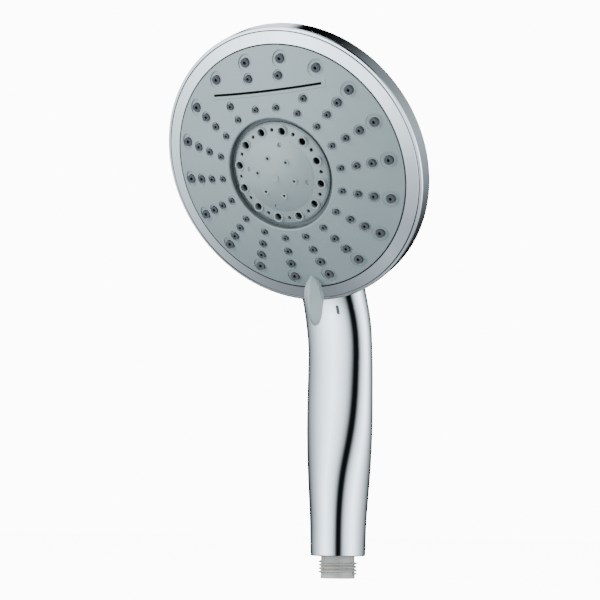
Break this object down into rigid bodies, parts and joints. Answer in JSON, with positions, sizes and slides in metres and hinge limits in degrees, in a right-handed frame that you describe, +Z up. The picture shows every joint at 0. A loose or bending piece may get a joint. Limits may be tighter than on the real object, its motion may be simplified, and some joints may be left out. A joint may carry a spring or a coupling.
{
  "type": "handheld shower head",
  "caption": "Handheld shower head with a round tilted spray face that turns by a small lever, a slim curved handle and a threaded inlet.",
  "frame": {"origin": "centre of the inlet thread's end face", "axes": "+Z up along the handle, -Y to the spray side, +X to the right of someone who faces the spray face"},
  "size_m": [0.1512, 0.1055, 0.2875],
  "materials": {
    "chrome": "mirror-bright chrome plating on moulded plastic",
    "face_grey": "cool light grey, satin",
    "lever_grey": "cool light grey, satin",
    "insert_grey": "cool light grey, satin",
    "nozzle_rubber": "dark blue-grey silicone",
    "mark_grey": "mid grey inlay",
    "inlet_plastic": "warm grey, moulded",
    "inner_plastic": "natural white acetal",
    "dark_plastic": "black moulded",
    "turbine_plastic": "white acetal",
    "seal_rubber": "black EPDM",
    "mesh_steel": "fine woven stainless mesh",
    "screw_steel": "stainless",
    "spring_steel": "stainless spring wire",
    "washer_plastic": "white acetal, low friction"
  },
  "bodies": {
    "housing": {"housing_shell": "chrome", "bezel_ring": "chrome", "index_mark": "mark_grey", "inlet_tube": "inlet_plastic", "waterway_hub": "inner_plastic", "hub_cover": "inner_plastic", "hub_screws": "screw_steel", "thrust_washer": "washer_plastic", "centre_screw": "screw_steel", "seal_cup": "seal_rubber", "seal_spring": "spring_steel", "detent_spring": "spring_steel", "collar_oring": "seal_rubber", "spigot_oring": "seal_rubber", "filter_screen": "turbine_plastic", "flow_regulator": "dark_plastic"},
    "spray_face": {"face_plate": "face_grey", "selector_lever": "lever_grey", "centre_insert": "insert_grey", "nozzle_mat": "nozzle_rubber", "chamber_plate": "inner_plastic", "chamber_gasket": "seal_rubber", "distribution_disc": "inner_plastic", "chamber_screws": "screw_steel", "aerator_mesh": "mesh_steel", "jet_plate": "dark_plastic", "turbine_pin": "screw_steel"},
    "turbine": {"massage_turbine": "turbine_plastic"},
    "detent": {"detent_plunger": "turbine_plastic"}
  },
  "joints": [
    {"name": "face_turn", "type": "hinge", "parent": "housing", "child": "spray_face", "pos_m": [0, -0.05916, 0.21385], "axis": [0, -0.8894, -0.4571], "range_deg": [-30, 30]},
    {"name": "turbine_spin", "type": "hinge", "parent": "spray_face", "child": "turbine", "pos_m": [0, -0.05916, 0.21385], "axis": [0, -0.8894, -0.4571], "continuous": true},
    {"name": "detent_travel", "type": "slide", "parent": "housing", "child": "detent", "axis": [0, -0.8894, -0.4571], "range_m": [0, 0.00065], "stiffness_N_per_m": 1500, "springref_m": 0.002}
  ]
}
